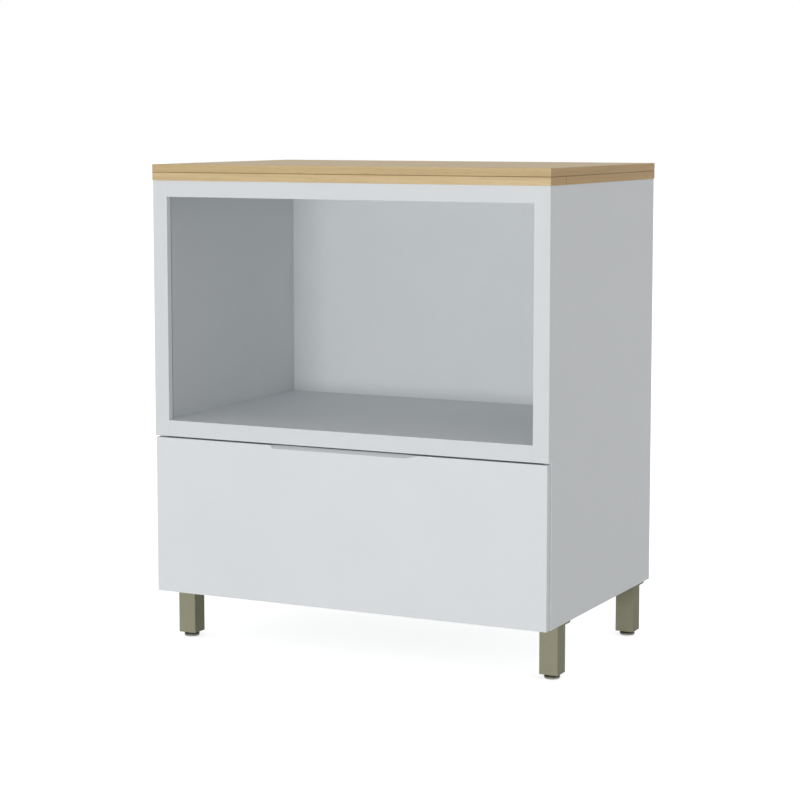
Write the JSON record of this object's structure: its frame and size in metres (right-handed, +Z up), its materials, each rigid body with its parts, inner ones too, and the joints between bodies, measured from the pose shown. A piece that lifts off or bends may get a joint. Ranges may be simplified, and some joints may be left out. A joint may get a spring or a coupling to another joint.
{
  "type": "oven base cabinet",
  "caption": "Kitchen base cabinet with a framed open niche for an oven over a deep sliding drawer, a thick wooden worktop and square metal legs on levelling feet.",
  "frame": {"origin": "on the floor, under the middle of the worktop", "axes": "+X to the right as seen from in front, +Y to the back, +Z up; the drawer opens towards -Y"},
  "size_m": [0.8, 0.5146, 0.9052],
  "materials": {
    "white_board": "satin white melamine on particle board",
    "white_back": "white lacquer on thin fibreboard",
    "oak_board": "matt washed oak grain, running from side to side",
    "champagne_leg": "satin champagne anodising",
    "foot_steel": "burnished steel",
    "dark_plastic": "matt black",
    "zinc_steel": "bright zinc plating",
    "beech": "bare smooth beech",
    "clear_rubber": "soft translucent bumper"
  },
  "bodies": {
    "cabinet": {"side_panel_left": "white_board", "side_panel_right": "white_board", "base_panel": "white_board", "oven_shelf": "white_board", "top_panel": "white_board", "back_panel": "white_back", "frame_stile_left": "white_board", "frame_stile_right": "white_board", "frame_rail_top": "white_board", "frame_rail_bottom": "white_board", "worktop_board": "oak_board", "worktop_strip_front": "oak_board", "worktop_strip_back": "oak_board", "worktop_strip_left": "oak_board", "worktop_strip_right": "oak_board", "leg_front_left": "champagne_leg", "leg_front_right": "champagne_leg", "leg_back_left": "champagne_leg", "leg_back_right": "champagne_leg", "leg_plate_front_left": "champagne_leg", "leg_plate_front_right": "champagne_leg", "leg_plate_back_left": "champagne_leg", "leg_plate_back_right": "champagne_leg", "leg_plugs": "dark_plastic", "leg_plate_screws": "zinc_steel", "leg_set_screws": "zinc_steel", "cam_locks": "zinc_steel", "cam_bolts": "zinc_steel", "dowels": "beech", "worktop_screws": "zinc_steel", "back_panel_nails": "zinc_steel", "runner_outer_left": "zinc_steel", "runner_outer_right": "zinc_steel", "runner_body_screws": "zinc_steel"},
    "drawer": {"drawer_front": "white_board", "drawer_side_left": "white_board", "drawer_side_right": "white_board", "drawer_inner_front": "white_board", "drawer_back": "white_board", "drawer_bottom": "white_back", "drawer_bumpers": "clear_rubber", "drawer_front_screws": "zinc_steel", "drawer_box_screws": "zinc_steel", "runner_inner_left": "zinc_steel", "runner_inner_right": "zinc_steel", "runner_drawer_screws": "zinc_steel"},
    "runner_middle_left": {"runner_middle_left": "zinc_steel"},
    "runner_middle_right": {"runner_middle_right": "zinc_steel"},
    "ball_cage_outer_left": {"ball_cage_outer_left": "zinc_steel"},
    "ball_cage_outer_right": {"ball_cage_outer_right": "zinc_steel"},
    "ball_cage_inner_left": {"ball_cage_inner_left": "zinc_steel"},
    "ball_cage_inner_right": {"ball_cage_inner_right": "zinc_steel"},
    "foot_front_left": {"foot_front_left": "foot_steel"},
    "foot_front_right": {"foot_front_right": "foot_steel"},
    "foot_back_left": {"foot_back_left": "foot_steel"},
    "foot_back_right": {"foot_back_right": "foot_steel"}
  },
  "joints": [
    {"name": "drawer_slide", "type": "slide", "parent": "cabinet", "child": "drawer", "axis": [0, -1, 0], "range_m": [0, 0.44]},
    {"name": "runner_middle_left_slide", "type": "slide", "parent": "cabinet", "child": "runner_middle_left", "axis": [0, -1, 0], "range_m": [0, 0.22]},
    {"name": "ball_cage_outer_left_slide", "type": "slide", "parent": "cabinet", "child": "ball_cage_outer_left", "axis": [0, -1, 0], "range_m": [0, 0.11]},
    {"name": "ball_cage_inner_left_slide", "type": "slide", "parent": "cabinet", "child": "ball_cage_inner_left", "axis": [0, -1, 0], "range_m": [0, 0.33]},
    {"name": "runner_middle_right_slide", "type": "slide", "parent": "cabinet", "child": "runner_middle_right", "axis": [0, -1, 0], "range_m": [0, 0.22]},
    {"name": "ball_cage_outer_right_slide", "type": "slide", "parent": "cabinet", "child": "ball_cage_outer_right", "axis": [0, -1, 0], "range_m": [0, 0.11]},
    {"name": "ball_cage_inner_right_slide", "type": "slide", "parent": "cabinet", "child": "ball_cage_inner_right", "axis": [0, -1, 0], "range_m": [0, 0.33]},
    {"name": "foot_front_left_screw_out", "type": "slide", "parent": "cabinet", "child": "foot_front_left", "axis": [0, 0, -1], "range_m": [0, 0.015]},
    {"name": "foot_front_right_screw_out", "type": "slide", "parent": "cabinet", "child": "foot_front_right", "axis": [0, 0, -1], "range_m": [0, 0.015]},
    {"name": "foot_back_left_screw_out", "type": "slide", "parent": "cabinet", "child": "foot_back_left", "axis": [0, 0, -1], "range_m": [0, 0.015]},
    {"name": "foot_back_right_screw_out", "type": "slide", "parent": "cabinet", "child": "foot_back_right", "axis": [0, 0, -1], "range_m": [0, 0.015]}
  ],
  "couplings": [
    {"joint": "runner_middle_left_slide", "follows": "drawer_slide", "ratio": 0.5},
    {"joint": "ball_cage_outer_left_slide", "follows": "drawer_slide", "ratio": 0.25},
    {"joint": "ball_cage_inner_left_slide", "follows": "drawer_slide", "ratio": 0.75},
    {"joint": "runner_middle_right_slide", "follows": "drawer_slide", "ratio": 0.5},
    {"joint": "ball_cage_outer_right_slide", "follows": "drawer_slide", "ratio": 0.25},
    {"joint": "ball_cage_inner_right_slide", "follows": "drawer_slide", "ratio": 0.75}
  ]
}
